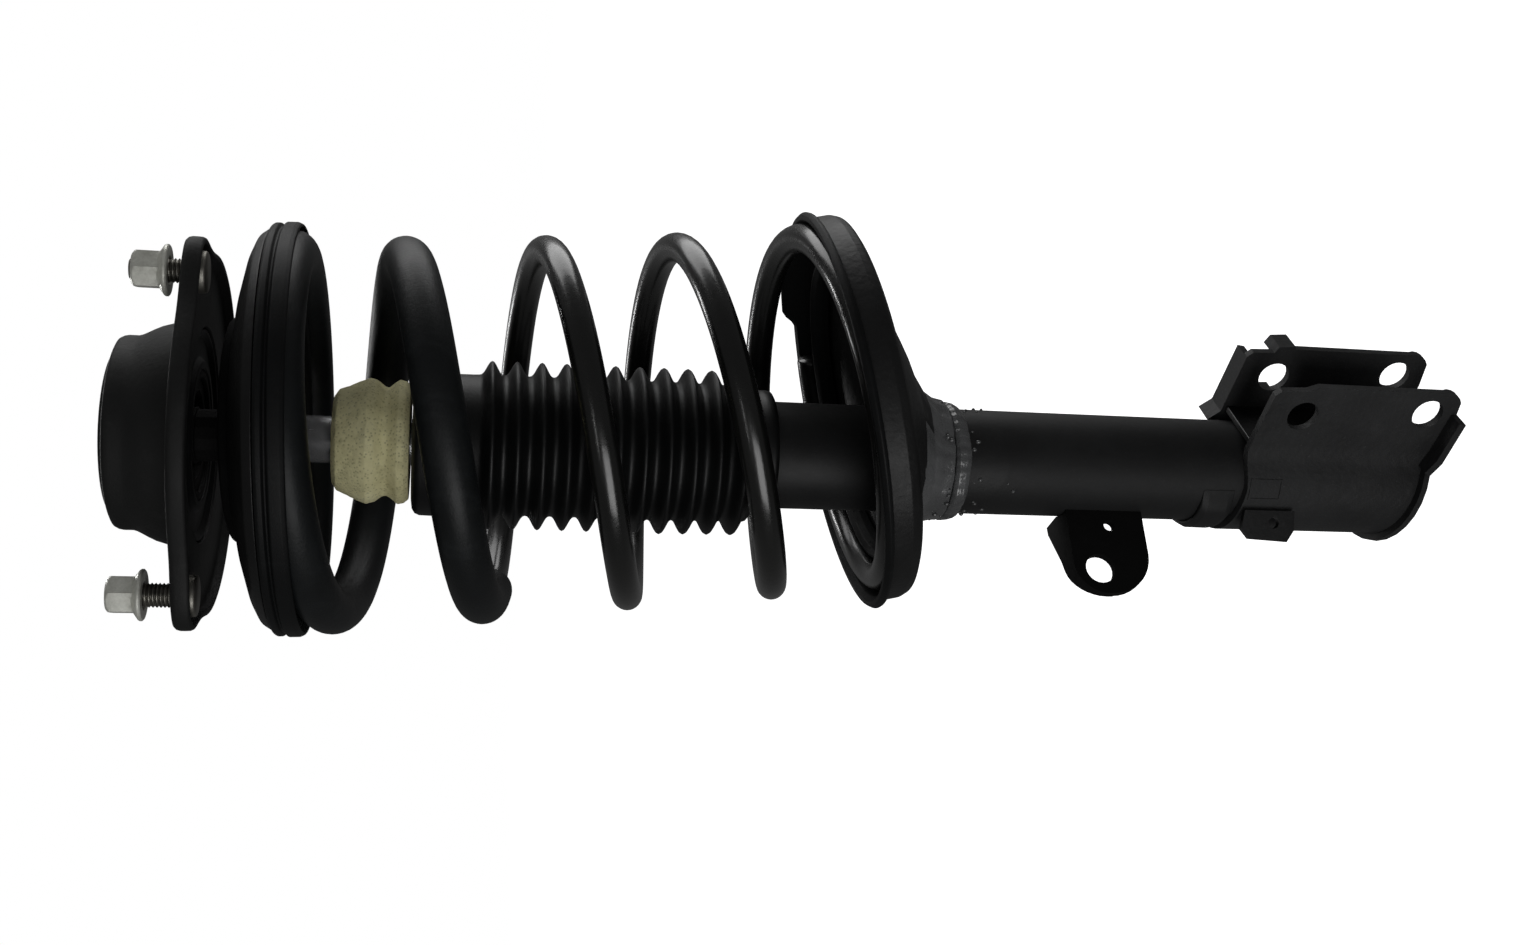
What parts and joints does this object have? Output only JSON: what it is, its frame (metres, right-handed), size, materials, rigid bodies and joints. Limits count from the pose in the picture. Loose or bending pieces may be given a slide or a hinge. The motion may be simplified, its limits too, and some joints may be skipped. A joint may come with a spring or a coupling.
{
  "type": "strut assembly",
  "caption": "Front suspension strut with a three-stud top mount, rubber-seated coil spring, dust boot, damper tube and a two-bolt knuckle bracket.",
  "frame": {"origin": "on the strut axis, in the upper face of the top mount's plate, which bolts up against the body", "axes": "+Z along the strut axis towards the body, +X towards the steering knuckle, +Y to complete a right-handed frame"},
  "size_m": [0.1919, 0.1828, 0.594],
  "materials": {
    "black_paint": "satin black paint",
    "grey_paint": "satin dark grey paint",
    "gloss_paint": "gloss black coating",
    "zinc": "zinc plated",
    "steel": "machined",
    "rod_chrome": "ground and plated",
    "rubber": "matt",
    "foam": "matt foam",
    "nylon": "matt"
  },
  "bodies": {
    "mount": {"mount_plate": "black_paint", "body_stud_1": "zinc", "body_stud_2": "zinc", "body_stud_3": "zinc", "body_nut_1": "zinc", "body_nut_2": "zinc", "body_nut_3": "zinc", "mount_rubber": "rubber", "bearing_housing": "black_paint", "bearing_outer_race": "steel", "dust_cap": "rubber"},
    "rod_and_upper_seat": {"bearing_ball_ring": "steel", "bearing_inner_race": "steel", "bearing_spacer": "steel", "rod_washer": "zinc", "rod_nut": "zinc", "upper_spring_seat": "black_paint", "upper_seat_isolator": "rubber", "piston_rod": "rod_chrome", "rebound_stop": "nylon", "piston": "steel", "piston_nut": "zinc", "bump_stop": "foam", "dust_boot": "rubber", "coil_spring": "gloss_paint", "spring_sleeve": "rubber"},
    "strut_body": {"strut_tube": "grey_paint", "tube_top_cap": "steel", "rod_seal": "rubber", "rod_guide": "steel", "pressure_tube": "steel", "base_valve": "steel", "tube_base_cap": "grey_paint", "lower_spring_seat": "grey_paint", "lower_seat_isolator": "rubber", "seat_weld": "grey_paint", "knuckle_bracket": "grey_paint", "bracket_web": "grey_paint", "bracket_collar": "grey_paint", "hose_bracket": "grey_paint", "stabiliser_tab": "grey_paint"}
  },
  "joints": [
    {"name": "steering_swivel", "type": "hinge", "parent": "mount", "child": "rod_and_upper_seat", "pos_m": [0, 0, 0], "axis": [0, 0, 1], "range_deg": [-40, 40]},
    {"name": "strut_travel", "type": "slide", "parent": "rod_and_upper_seat", "child": "strut_body", "axis": [0, 0, 1], "range_m": [0, 0.14], "stiffness_N_per_m": 23000, "springref_m": -0.06, "deforming": ["coil_spring", "spring_sleeve", "dust_boot"]}
  ]
}
